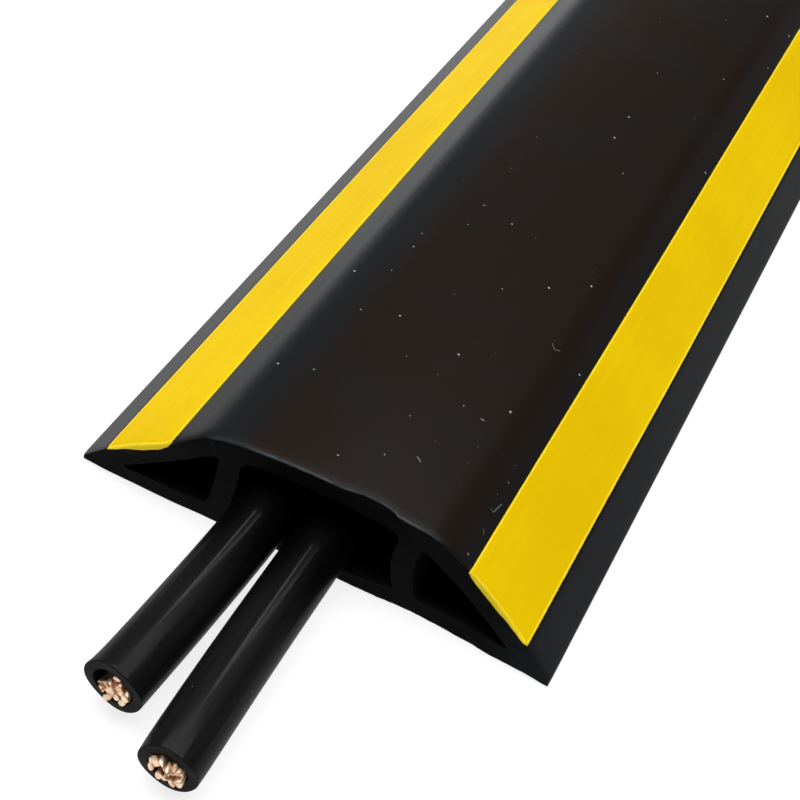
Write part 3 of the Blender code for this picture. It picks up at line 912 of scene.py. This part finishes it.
class StageOperator(bpy.types.Operator):
    """Set the camera, the soft lights and the pale floor"""

    bl_idname = "cable_ramp.stage"
    bl_label = "Set the Stage"

    def execute(self, context):
        scene = context.scene
        scene.view_settings.view_transform = "Standard"
        camera = bpy.data.objects.new("camera", bpy.data.cameras.new("camera"))
        camera.data.lens = CAMERA_LENS
        camera.data.sensor_width = 36
        camera.data.clip_start = 0.01
        self.put(camera, CAMERA_RIGHT, -np.array(CAMERA_DOWN), -np.array(CAMERA_AHEAD), CAMERA_PLACE)
        scene.camera = camera

        world = bpy.data.worlds.new("dim room with a pale horizon")
        world.use_nodes = True
        tree = world.node_tree
        facing = add(tree, "ShaderNodeTexCoord").outputs["Generated"]
        side = ranged(tree, axis(tree, facing, 0), -0.45, 0.25, WALL_GLOW, ROOM_GLOW, "SMOOTHSTEP")
        wall = ranged(tree, axis(tree, facing, 1), 0.53, 0.66, ROOM_GLOW, side, "SMOOTHSTEP")
        glow = ranged(tree, axis(tree, facing, 2), 0.05, 0.20, wall, ROOM_GLOW, "SMOOTHSTEP")
        sky = tree.nodes["Background"]
        sky.inputs["Color"].default_value = (0.94, 0.98, 1.0, 1.0)
        tree.links.new(glow, sky.inputs["Strength"])
        scene.world = world

        for light in LIGHTS:
            self.softbox(*light)

        share = np.linspace(-1, 1, 9)
        x, y = np.meshgrid(share ** 3 * FLOOR_HALF, share ** 3 * FLOOR_HALF)
        grid = np.stack([x, y, np.full_like(x, -FLOOR_DROP)], axis=2)
        floor = piece("studio_floor", [(grid, False, False, 0)], ["back-lit white acrylic"])
        return {"FINISHED"}

    @staticmethod
    def put(made, right, up, back, place):
        """Turn an object's axes along three unit vectors, put it in its place and link it to the scene."""
        turned = np.eye(4)
        turned[:3] = np.stack([right, up, back, place], axis=1)
        made.matrix_world = Matrix(turned.tolist())
        bpy.context.scene.collection.objects.link(made)

    def softbox(self, name, place, target, width, height, radiance, turn):
        """Area light that glows evenly with a radiance, facing a point.  One that faces straight down can be
        turned about the vertical by an angle in degrees."""
        data = bpy.data.lights.new(name, "AREA")
        data.shape = "RECTANGLE"
        data.size = width
        data.size_y = height
        data.energy = radiance * math.pi * width * height
        back = unit(np.array(place) - np.array(target))
        turn = math.radians(turn)
        level = np.array([math.cos(turn), math.sin(turn), 0.0])
        right = unit(np.cross((0.0, 0.0, 1.0), back)) if abs(back[2]) < 0.999 else level
        self.put(bpy.data.objects.new(name, data), right, np.cross(back, right), back, place)


class ExtrusionOperator(bpy.types.Operator):
    """Extrude the black ramp with its arched crown, webs and side chambers, and cut both its ends"""

    bl_idname = "cable_ramp.extrusion"
    bl_label = "Extrude the Ramp"

    def execute(self, context):
        sizes = context.scene.ramp_sizes
        skin, roll, turns = ramp_skin(sizes)
        chamber = chamber_outline(sizes, turns, len(skin))
        centre = crown_centre(sizes)
        edge = heading(skin[0] - centre)
        crown = arc(centre, sizes.crown_radius, math.pi - edge, edge, ROOF_COUNT)
        under = arc(centre, sizes.crown_radius - sizes.roof_thickness, math.pi - edge, edge, ROOF_COUNT)
        looped = np.concatenate([chamber[-1:], chamber, chamber[:1]])
        bore_normals = -left_normals(looped)[1:-1]
        skin_normals = left_normals(skin)
        skin_normals[[0, -1]] = radial(skin[[0, -1]], centre) * [[1], [-1]]
        crown_grid = swept(sizes, crown, radial(crown, centre), np.ones(ROOF_COUNT), WAVER)
        under_grid = swept(sizes, under, -radial(under, centre), np.full(ROOF_COUNT, INNER_ROLL), WAVER)
        line = stations()
        # Rows of the crown beside each cut, which get the painted rim highlight
        at_the_cut = ((line[1:] < RIM_HIGHLIGHT_REACH) | (line[:-1] > SPAN - RIM_HIGHLIGHT_REACH))[:, None]
        sheets = [
            (crown_grid, False, False, np.where(at_the_cut, RIM_HIGHLIGHT, OUTSIDE)),
            (under_grid, False, False, INSIDE),
        ]
        for end in (0, -1):
            sheets.append((ruled(crown_grid[end], under_grid[end], CAP_ROWS), False, False, CUT))
        columns = np.arange(len(skin) - 1)
        worn = np.where(columns < turns[2], OUTSIDE, INSIDE)
        worn = np.where(at_the_cut & (columns < turns[0]), RIM_HIGHLIGHT, worn)
        for mirror in ([1.0, 1.0], [-1.0, 1.0]):
            outer = swept(sizes, skin * mirror, skin_normals * mirror, roll, WAVER)
            inner = swept(sizes, chamber * mirror, bore_normals * mirror, np.full(len(chamber), INNER_ROLL))
            sheets += [(outer, False, False, worn), (inner, False, True, INSIDE)]
            for end in (0, -1):
                parting = ruled(outer[end, -1:], outer[end, :1], CAP_ROWS)[1:-1, 0]
                rim = np.concatenate([outer[end], parting])
                sheets.append((ruled(rim, inner[end], CAP_ROWS), False, True, CUT))
        made = piece("ramp_extrusion", sheets, PVC_FINISHES)
        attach(made, "ramp")
        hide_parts("ramp_body")
        return {"FINISHED"}


# A strip's overlap over its seat, the radius of its edges, the rise of its top, how far its two cut ends are
# rolled in and over what reach and depth, how far the rear end wanders, how soon both ends' wander fades, how
# far the front end bulges, and the width of the painted highlight along its lower edge and its lip
STRIP_OVERLAP = 0.2 * MM
STRIP_EDGE = 0.28 * MM
STRIP_RISE = 0.08 * MM
LIP_ROLL = 0.42 * MM
LIP_REACH = 0.9 * MM
TAIL_ROLL = 0.10 * MM
TAIL_REACH = 0.4 * MM
ROLL_DEPTH = 0.6 * MM
TAIL_WANDER = 0.25 * MM
LIP_FADE = 6 * MM
TAIL_FADE = 4 * MM
LIP_BULGE = 0.05 * MM
HIGHLIGHT_EDGE = 0.25 * MM
HIGHLIGHT_LIP = 0.45 * MM


class StripsOperator(bpy.types.Operator):
    """Lay a yellow strip into each slope, with its front lip hanging a little over the cut"""

    bl_idname = "cable_ramp.strips"
    bl_label = "Lay the Strips"

    def execute(self, context):
        sizes = context.scene.ramp_sizes
        for side, mirror in SIDES.items():
            made = piece(f"edge_strip_{side}", self.sheets(sizes, side, mirror), STRIP_FINISHES)
            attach(made, "ramp")
            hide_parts(f"strip_{side}")
        return {"FINISHED"}

    @staticmethod
    def sheets(sizes, side, mirror):
        """Top and underside of a strip carried along the ramp, and the faces of its two ends.  The top is
        crowned by a parabola and round at both edges; the underside bellies out, thin at the toe and rounded
        at the head.  The front end lies where the lip's curve says, fading within a few millimetres."""
        foot, up, outward, _ = slope_frame(sizes)
        low, high = strip_span(sizes)
        low -= STRIP_OVERLAP
        high += STRIP_OVERLAP
        turn = np.linspace(0, math.pi / 2, 6)
        inward = STRIP_EDGE * (1 - np.cos(turn))
        level = STRIP_EDGE * np.sin(turn) - STRIP_EDGE
        flat = np.linspace(low + STRIP_EDGE, high - STRIP_EDGE, 31)[1:-1]
        flat = np.concatenate([[low + STRIP_EDGE + HIGHLIGHT_EDGE], flat])
        along = np.concatenate([[low], low + inward, flat, (high - inward)[::-1], [high]])
        share = (along - low) / (high - low)
        sole = -strip_depth(sizes, share)
        top = sizes.strip_proud + np.concatenate([[0], level, np.zeros(len(flat)), level[::-1], [0]])
        top += STRIP_RISE * 4 * share * (1 - share)
        top[[0, -1]] = sole[[0, -1]]
        line = stations()[:, None]
        lip = wander(LIP_ACROSS, LIP[side], share) * MM
        tail = TAIL_WANDER * np.sin(share * 9)
        y = FRONT + line + lip * np.exp(-line / LIP_FADE) + tail * np.exp((line - SPAN) / TAIL_FADE)
        sway = 0.06 * np.sin(line / (45 * MM) + 3 * mirror) + 0.04 * np.sin(line / (17 * MM))
        slide = along + sway * MM
        rolled = pressed(line, LIP_ROLL, LIP_REACH) + pressed(SPAN - line, TAIL_ROLL, TAIL_REACH)
        grids = []
        for height in (top, sole):
            lift = height - rolled * np.clip((height - sole) / ROLL_DEPTH, 0, 1)
            x = mirror * (foot[0] + up[0] * slide + outward[0] * lift)
            z = foot[1] + up[1] * slide + outward[1] * lift
            grids.append(np.stack([x, y, z], axis=2))
        for end, bulge in ((0, -LIP_BULGE), (-1, 0.0)):
            grids.append(dished(ruled(grids[0][end], grids[1][end], 5), bulge))
        columns = np.arange(len(along) - 1)
        # Painted highlight: the strip's edge columns and its rows at the lip get the pale yellow
        highlighted = (columns <= len(turn)) | (columns >= len(columns) - 4) | (line[1:] < HIGHLIGHT_LIP)
        worn = (highlighted.astype(int), 0, 1, 1)
        return [(grid, False, False, number) for grid, number in zip(grids, worn)]


# How far a flap's root bends and its underside lifts, and how deep its round edge is
FLAP_BEND = 3.5 * MM
FLAP_LIFT = 2 * MM
FLAP_NOSE = 0.5 * MM


class FlapsOperator(bpy.types.Operator):
    """Make the two halves of the channel floor, from their roots to the slit"""

    bl_idname = "cable_ramp.flaps"
    bl_label = "Make the Floor Flaps"

    def execute(self, context):
        sizes = context.scene.ramp_sizes
        for side, mirror in SIDES.items():
            made = piece(f"channel_floor_{side}", self.sheets(sizes, mirror), PVC_FINISHES)
            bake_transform(made)
            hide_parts(f"floor_flap_{side}")
        return {"FINISHED"}

    @staticmethod
    def sheets(sizes, mirror):
        """Top and underside of a flap from its root to the slit, carried along the ramp, and its end faces.
        The top falls evenly to a round edge at the slit; the underside lifts off the ground just inside the
        root."""
        root = sizes.channel_foot / 2
        edge = sizes.slit / 2
        bend = np.linspace(root, root - FLAP_BEND, 15)[:-1]
        reach = np.linspace(root - FLAP_BEND, edge + FLAP_NOSE, 16)
        turn = np.linspace(0, math.pi / 2, 6)[1:]
        nose = edge + FLAP_NOSE * (1 - np.sin(turn))
        across = np.concatenate([bend, reach, nose])
        thin = sizes.flap_recess + sizes.flap_edge
        top = thin + (sizes.base_thickness - thin) * (across - edge) / (root - edge)
        under = sizes.flap_recess * smoothstep((root - across) / FLAP_LIFT)
        drop = np.concatenate([np.zeros(len(bend) + len(reach)), 1 - np.cos(turn)])
        middle = (thin + sizes.flap_recess) / 2
        top = top - drop * (top - middle)
        under = under + drop * (middle - under)
        grids = []
        for height in (top, under):
            outline = np.stack([across * mirror, height], axis=1)
            grids.append(swept(sizes, outline, np.zeros_like(outline), np.zeros(len(across))))
        upper, lower = grids
        sheets = [(upper, False, False, INSIDE), (lower, False, False, OUTSIDE)]
        sheets.append((ruled(upper[:, 0], lower[:, 0], 5), False, False, OUTSIDE))
        for end in (0, -1):
            sheets.append((ruled(upper[end], lower[end], 5), False, False, CUT))
        return sheets


# Cables

def cable_facts(sizes, side):
    """Where a cable's straight part lies, how far its stub stands out, and its sideways bend."""
    low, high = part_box(f"jacket_{side}")
    radius = sizes.jacket_radius
    x = high.x - radius if side == "left" else low.x + radius
    stub = getattr(sizes, f"{side}_stub")
    return x, high.z - radius, stub, getattr(sizes, f"{side}_sway")


def cable_line(sizes, side, y):
    """Centre line of a cable at places along the ramp, and its direction.  It is straight through the
    channel; from just inside the front mouth it bends aside, and past the mouth it droops, each by a
    parabola."""
    x, height, stub, sway = cable_facts(sizes, side)
    begin = FRONT + sizes.sway_start
    reach = sizes.sway_start + stub
    aside = np.maximum(begin - y, 0) / reach
    past = np.maximum(FRONT - y, 0) / stub
    centre = np.stack([x + sway * aside ** 2, y, height - sizes.droop * past ** 2], axis=-1)
    way = np.stack([-2 * sway * aside / reach, np.ones_like(y), 2 * sizes.droop * past / stub], axis=-1)
    return centre, way / np.linalg.norm(way, axis=-1, keepdims=True)


def round_line(sizes, side, y, aside, above):
    """Points beside a cable's centre line: aside across it and above it."""
    centre, way = cable_line(sizes, side, y)
    across = np.cross(way, (0.0, 0.0, 1.0))
    across /= np.linalg.norm(across, axis=-1, keepdims=True)
    up = np.cross(across, way)
    return centre + across * aside[..., None] + up * above[..., None]


def cable_ends(sizes, side):
    """Where a cable's front and rear tips lie along the ramp."""
    return FRONT - cable_facts(sizes, side)[2], REAR + sizes.rear_stub


# Strands whose tips were nipped off short, which leaves a dark crescent in the bore, by how much, and how the
# bundle is turned
SHORT_STRANDS = {"left": (14, 15, 16), "right": (6, 13)}
SHORT_BY = 3.0 * MM
BUNDLE_TURN = {"left": 0.35, "right": 0.9}
STRAND_SEED = {"left": 5, "right": 11}

# How far strands stand out of the jacket at least and at most, and how far the jacket's tip is
# pinched all round and flared on its left, in millimetres
STRAND_REACH = {"left": (-0.4, 0.8), "right": (0.0, 1.1)}
NIP = {"left": 0.0, "right": 0.14}
FLARE = {"left": 0.32, "right": 0.0}

# How far strands lean near their tips and how soon that fades, how steeply their tips slant and how soon that
# fades, how oval they are, and the room they keep from the bore
TIP_LEAN = 0.24 * MM
LEAN_LENGTH = 2.2 * MM
TIP_SLANT = 0.55
SLANT_LENGTH = 0.5 * MM
OVAL = 0.12
BORE_ROOM = 0.03 * MM

# Radii of a jacket's outer and inner lip, how far its cuts lie askew and how soon that fades, its ripple, and
# how soon its pinch and its flare fade
LIP_ROUND = 0.20 * MM
RIM_ROUND = 0.12 * MM
ASKEW = 0.22 * MM
ASKEW_FINE = 0.10 * MM
ASKEW_LENGTH = 2 * MM
RIPPLE = 0.02 * MM
NIP_LENGTH = 2.5 * MM
FLARE_LENGTH = 1.6 * MM


class ConductorsOperator(bpy.types.Operator):
    """Strand the two copper conductors, nineteen wires each, with ragged cut ends"""

    bl_idname = "cable_ramp.conductors"
    bl_label = "Strand the Conductors"

    def execute(self, context):
        sizes = context.scene.cable_sizes
        for side in SIDES:
            sheets = [(wire, False, True, 0) for wire in self.wires(sizes, side)]
            made = piece(f"conductor_{side}", sheets, ["drawn copper wire"], sharp=50.0)
            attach(made, f"cable_{side}")
            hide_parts(*STRAND_NAMES[side])
        return {"FINISHED"}

    @staticmethod
    def wires(sizes, side):
        """Wires of a bundle as grids, rings by sides: one in the middle, six round it and twelve round those,
        all winding round the centre line once in each lay.  Near the tips each wire leans its own way, and
        ends in a blunt nipped point."""
        draw = np.random.default_rng(STRAND_SEED[side])
        turn = np.radians(60) * np.arange(6)
        hexagon = np.stack([np.cos(turn), np.sin(turn)], axis=1)
        between = (hexagon + np.roll(hexagon, -1, axis=0)) / 2
        second = np.stack([hexagon, between], axis=1).reshape(-1, 2) * 2
        places = np.concatenate([[[0.0, 0.0]], hexagon, second]) * sizes.strand_pitch
        count = len(places)

        front, rear = cable_ends(sizes, side)
        near = np.array([0, 0, 0.03, 0.09, 0.2, 0.5, 1.0, 1.5, 2.1, 2.8, 3.6, 4.6, 6, 8, 10.5]) * MM
        inner = np.linspace(front + 14 * MM, rear - 14 * MM, 132)
        nominal = np.concatenate([front + near, inner, (rear - near)[::-1]])
        recess = -draw.uniform(*STRAND_REACH[side], (count, 2)) * MM
        recess[list(SHORT_STRANDS[side]), 0] += SHORT_BY
        share = (nominal - front) / (rear - front)
        y = nominal + recess[:, :1] * (1 - share) - recess[:, 1:] * share
        from_front = y - y[:, :1]
        from_rear = y[:, -1:] - y

        wind = BUNDLE_TURN[side] + (y - FRONT) / sizes.strand_lay * math.tau
        aside = places[:, :1] * np.cos(wind) - places[:, 1:] * np.sin(wind)
        above = places[:, :1] * np.sin(wind) + places[:, 1:] * np.cos(wind)
        lean = draw.normal(0, TIP_LEAN, (count, 2, 2))
        loose = [np.exp(-from_front / LEAN_LENGTH), np.exp(-from_rear / LEAN_LENGTH)]
        for end in (0, 1):
            aside = aside + lean[:, end, :1] * loose[end]
            above = above + lean[:, end, 1:] * loose[end]
        room = sizes.bore_radius - sizes.strand_diameter / 2 - BORE_ROOM
        inside = np.minimum(1, room / np.maximum(np.hypot(aside, above), 1e-9))
        aside = aside * inside
        above = above * inside

        radius = sizes.strand_diameter / 2
        blunt = np.array([0, 0.78, 0.93, 1.0, 1.04, 1.04, 1.02])
        girth = np.ones(len(nominal))
        girth[:7] = blunt
        girth[-7:] = blunt[::-1]
        around = np.linspace(0, math.tau, 10, endpoint=False)
        tilt = draw.uniform(-TIP_SLANT, TIP_SLANT, (count, 2, 2))
        fade = [np.exp(-from_tip / SLANT_LENGTH)[:, :, None] for from_tip in (from_front, from_rear)]
        squash = 1 + OVAL * np.cos(2 * (around - draw.uniform(0, math.pi, (count, 1, 1))))
        cosine = radius * girth[None, :, None] * squash * np.cos(around)
        sine = radius * girth[None, :, None] * squash * np.sin(around)
        slant = sum(
            (tilt[:, end, :1, None] * cosine + tilt[:, end, 1:, None] * sine) * fade[end] for end in (0, 1)
        )
        aside = aside[:, :, None] + cosine
        above = above[:, :, None] + sine
        return round_line(sizes, side, y[:, :, None] + slant, aside, above)


class JacketsOperator(bpy.types.Operator):
    bl_idname = "cable_ramp.jackets"
    bl_label = "Press the Jackets"

    def execute(self, context):
        sizes = context.scene.cable_sizes
        for side in SIDES:
            grid, cut = self.sheath(sizes, side)
            made = piece(f"cable_jacket_{side}", [(grid, True, True, cut)], SHEATH_FINISHES, sharp=50.0)
            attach(made, f"cable_{side}")
            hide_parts(f"jacket_{side}")
            front, rear = cable_ends(sizes, side)
            path, _ = cable_line(sizes, side, np.linspace(rear, front, 36))
            mouth, _ = cable_line(sizes, side, np.array([REAR]))
        return {"FINISHED"}

    @staticmethod
    def sheath(sizes, side):
        """Closed sleeve as one grid: round the cable, and along a loop that runs out over the jacket, round
        the front lip, back through the bore and round the rear lip.  Each lip is two quarter circles with a
        flat between, cut a little askew by two sines of the angle.  A tip may be pinched or flared, and the
        skin ripples by two sines.  Also says which rows of faces the knife made."""
        front, rear = cable_ends(sizes, side)
        outer = sizes.jacket_radius
        bore = sizes.bore_radius
        turn = np.linspace(0, math.pi / 2, 6)
        lip_run = LIP_ROUND * (1 - np.sin(turn))
        lip_radius = outer - LIP_ROUND + LIP_ROUND * np.cos(turn)
        rim_run = RIM_ROUND * (1 - np.cos(turn))
        rim_radius = bore + RIM_ROUND - RIM_ROUND * np.sin(turn)
        face = np.linspace(outer - LIP_ROUND, bore + RIM_ROUND, 5)[1:-1]
        step = np.array([0.9, 1.6, 2.6, 4, 6, 9]) * MM
        middle = np.linspace(front + 12 * MM, rear - 12 * MM, 90)
        wall = np.concatenate([front + step, middle, (rear - step)[::-1]])
        lip_y = np.concatenate([lip_run, np.zeros(len(face)), rim_run])
        lip_r = np.concatenate([lip_radius, face, rim_radius])
        y = np.concatenate([wall[::-1], front + lip_y, wall, (rear - lip_y)[::-1]])
        radius = np.concatenate([np.full(len(wall), outer), lip_r, np.full(len(wall), bore), lip_r[::-1]])
        around = np.linspace(0, math.tau, 56, endpoint=False)
        from_front = y - front
        from_rear = rear - y
        nip = np.exp(-from_front / NIP_LENGTH) + np.exp(-from_rear / NIP_LENGTH)
        askew = ASKEW * np.sin(around + 0.7) + ASKEW_FINE * np.sin(3 * around + 2.0)
        cut = np.exp(-from_front / ASKEW_LENGTH) - np.exp(-from_rear / ASKEW_LENGTH)
        places = y[:, None] + cut[:, None] * askew
        wave = RIPPLE * (np.sin(places / (19 * MM) + 2 * around) + np.sin(places / (7 * MM) - around))
        flare = np.exp(-from_front / FLARE_LENGTH)[:, None] * (0.5 + 0.5 * np.cos(around - 2.8)) ** 3
        solid = (radius - NIP[side] * MM * nip)[:, None] + wave + FLARE[side] * MM * flare
        front_row = np.arange(len(y)) - len(wall)
        rear_row = front_row - len(lip_y) - len(wall)
        made_by_knife = ((front_row >= 4) & (front_row < 13)) | ((rear_row >= 1) & (rear_row < 10))
        grid = round_line(sizes, side, places, solid * np.cos(around), solid * np.sin(around))
        return grid, made_by_knife.astype(int)[:, None]


class RampPanel(bpy.types.Panel):
    """Steps that build the cable ramp, and the sizes and colours they use"""

    bl_idname = "VIEW3D_PT_cable_ramp"
    bl_label = "Cable Ramp"
    bl_space_type = "VIEW_3D"
    bl_region_type = "UI"
    bl_category = "Cable Ramp"

    def draw(self, context):
        for step in STEPS:
            self.layout.operator(step.bl_idname)
        for group in (context.scene.ramp_sizes, context.scene.cable_sizes, context.scene.ramp_finishes):
            box = self.layout.box()
            for name in group.__annotations__:
                box.prop(group, name)


STEPS = (StageOperator, ConductorsOperator, JacketsOperator, ExtrusionOperator, StripsOperator, FlapsOperator)
GROUPS = {"ramp_sizes": RampSizes, "cable_sizes": CableSizes, "ramp_finishes": Finishes}


def register():
    """Make the property groups, operators and panel known to Blender."""
    for made in (*GROUPS.values(), *STEPS, RampPanel):
        bpy.utils.register_class(made)
    for name, group in GROUPS.items():
        setattr(bpy.types.Scene, name, PointerProperty(type=group))


def unregister():
    """Take them away again."""
    for name in GROUPS:
        delattr(bpy.types.Scene, name)
    for made in (RampPanel, *reversed(STEPS), *GROUPS.values()):
        bpy.utils.unregister_class(made)


def main():
    """Build the ramp step by step."""
    register()
    bpy.ops.cable_ramp.stage()
    bpy.ops.cable_ramp.conductors()
    bpy.ops.cable_ramp.jackets()
    bpy.ops.cable_ramp.extrusion()
    bpy.ops.cable_ramp.strips()
    bpy.ops.cable_ramp.flaps()
    bpy.context.view_layer.update()


if __name__ == "__main__":
    main()
